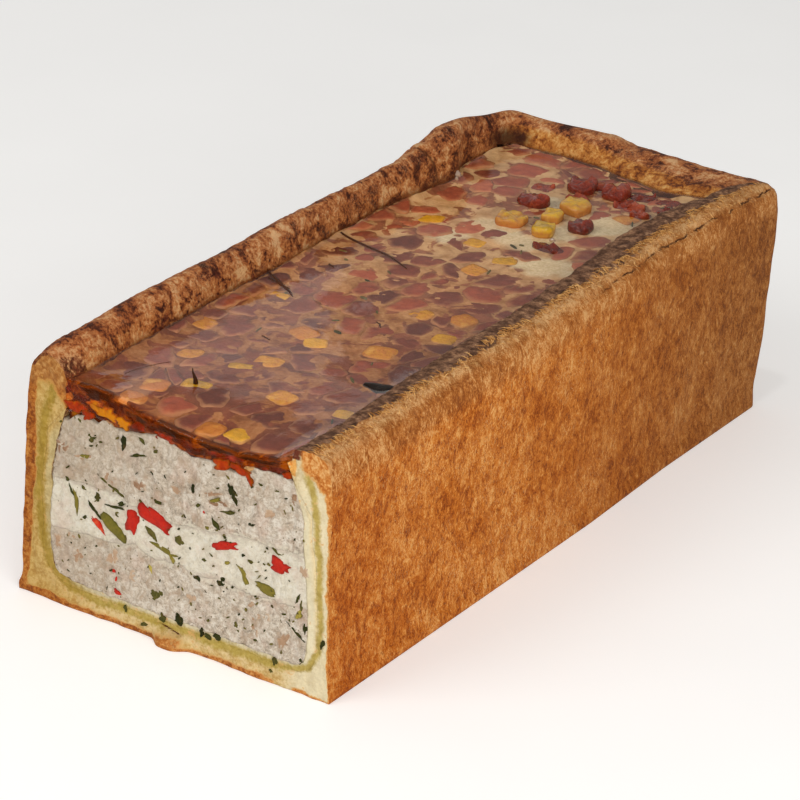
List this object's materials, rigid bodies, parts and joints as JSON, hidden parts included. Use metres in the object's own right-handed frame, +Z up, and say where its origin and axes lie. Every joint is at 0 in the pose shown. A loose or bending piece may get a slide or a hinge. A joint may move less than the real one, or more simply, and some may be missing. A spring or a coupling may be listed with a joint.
{
  "type": "pate en croute",
  "caption": "Rectangular pate baked in a browned crust with raised rims, cut across to show its pale layers, under a glossy clear jelly set with meat and vegetable pieces",
  "frame": {"origin": "centre of the loaf's box at its underside", "axes": "+X across the loaf, to the right when the cut face is looked at; +Y along the loaf, away from the cut face; +Z up"},
  "size_m": [0.096, 0.2194, 0.0756],
  "materials": {
    "crust": "browned baked dough, dry and slightly rough",
    "lining": "pale, slightly moist",
    "farce": "moist coarse meat paste",
    "mousse": "moist smooth paste",
    "jelly": "clear glossy set jelly",
    "pepper": "moist",
    "bean": "moist",
    "cube": "moist and glazed",
    "meat": "moist and glazed"
  },
  "bodies": {
    "root": {"crust": "crust", "pale_lining": "lining", "farce_lower": "farce", "mousse": "mousse", "farce_upper": "farce", "jelly": "jelly", "pepper_large": "pepper", "pepper_square": "pepper", "pepper_lens": "pepper", "pepper_block": "pepper", "bean_wedge": "bean", "cube_1": "cube", "cube_2": "cube", "cube_3": "cube", "cube_4": "cube", "meat_1": "meat", "meat_2": "meat", "meat_3": "meat", "meat_4": "meat"}
  },
  "joints": []
}
